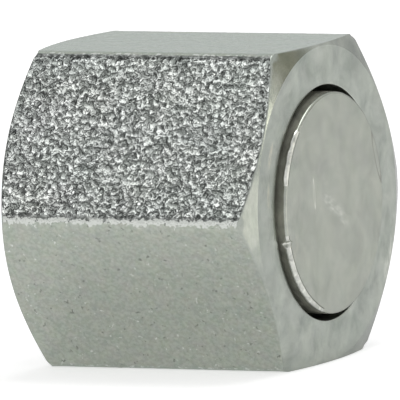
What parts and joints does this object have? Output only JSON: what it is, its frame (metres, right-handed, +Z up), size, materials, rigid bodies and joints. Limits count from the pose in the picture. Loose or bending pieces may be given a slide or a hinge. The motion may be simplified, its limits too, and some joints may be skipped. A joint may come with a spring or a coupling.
{
  "type": "two-piece blanking cap: hexagon union nut with a loose closing plug",
  "caption": "Hexagon union nut that holds a loose flanged closing plug in its front hole. It screws over the end of a face-seal tube fitting and blanks it off.",
  "frame": {"origin": "on the thread's axis, where the thread starts behind the mouth's countersink", "axes": "-X along the thread out of the mouth, +X towards the plug's end, +Z up, away from the flat that the part lies on"},
  "size_m": [0.022, 0.0274, 0.024],
  "materials": {
    "nut_steel": "zinc plated steel: drawn flats that are coarse and glittering or dull, and turned end faces and chamfers",
    "plug_steel": "zinc plated steel, turned, with faint lines and scratches on the end"
  },
  "bodies": {
    "nut": {"union_nut": "nut_steel"},
    "plug": {"closing_plug": "plug_steel"}
  },
  "joints": [
    {"name": "plug_swivel", "type": "hinge", "parent": "nut", "child": "plug", "pos_m": [0.0152, 0, 0], "axis": [1, 0, 0], "continuous": true}
  ]
}
